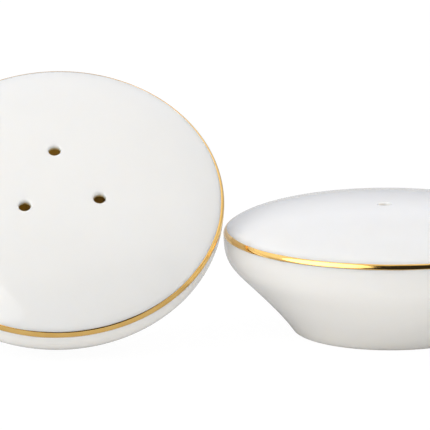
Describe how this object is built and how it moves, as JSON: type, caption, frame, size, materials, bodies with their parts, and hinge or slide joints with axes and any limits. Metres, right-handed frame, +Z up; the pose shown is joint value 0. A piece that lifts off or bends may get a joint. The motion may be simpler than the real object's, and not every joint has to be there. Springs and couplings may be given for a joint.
{
  "type": "salt and pepper shaker set",
  "caption": "Saucer-shaped hollow porcelain salt and pepper shakers with a gilt line round the rim, pouring holes in the domed top and a pull-out stopper in the recessed base.",
  "frame": {"origin": "on the table, at the centre of the bounding box's base: midway between the two rims and level with the pepper shaker's axis", "axes": "+Z up; +X from the salt shaker to the pepper shaker; -Y towards the viewer, the way the salt shaker is tipped"},
  "size_m": [0.1518, 0.076, 0.0562],
  "materials": {
    "porcelain": "clear gloss glaze over warm white bone china, foot tread unglazed",
    "gilt": "bright burnished gold, fired on",
    "stopper": "soft translucent silicone, satin"
  },
  "bodies": {
    "pepper_shaker": {"pepper_body": "porcelain", "pepper_gilt_band": "gilt"},
    "salt_shaker": {"salt_body": "porcelain", "salt_gilt_band": "gilt"},
    "pepper_stopper": {"pepper_stopper": "stopper"},
    "salt_stopper": {"salt_stopper": "stopper"}
  },
  "joints": [
    {"name": "salt_tip", "type": "hinge", "parent": "pepper_shaker", "child": "salt_shaker", "pos_m": [-0.03793, -0.0101, 0.001], "axis": [1, 0, 0], "range_deg": [-40.3, 6]},
    {"name": "salt_stopper_pull", "type": "slide", "parent": "salt_shaker", "child": "salt_stopper", "axis": [0, 0.6468, -0.7627], "range_m": [0, 0.008]},
    {"name": "pepper_stopper_pull", "type": "slide", "parent": "pepper_shaker", "child": "pepper_stopper", "axis": [0, 0, -1], "range_m": [0, 0.008]}
  ]
}
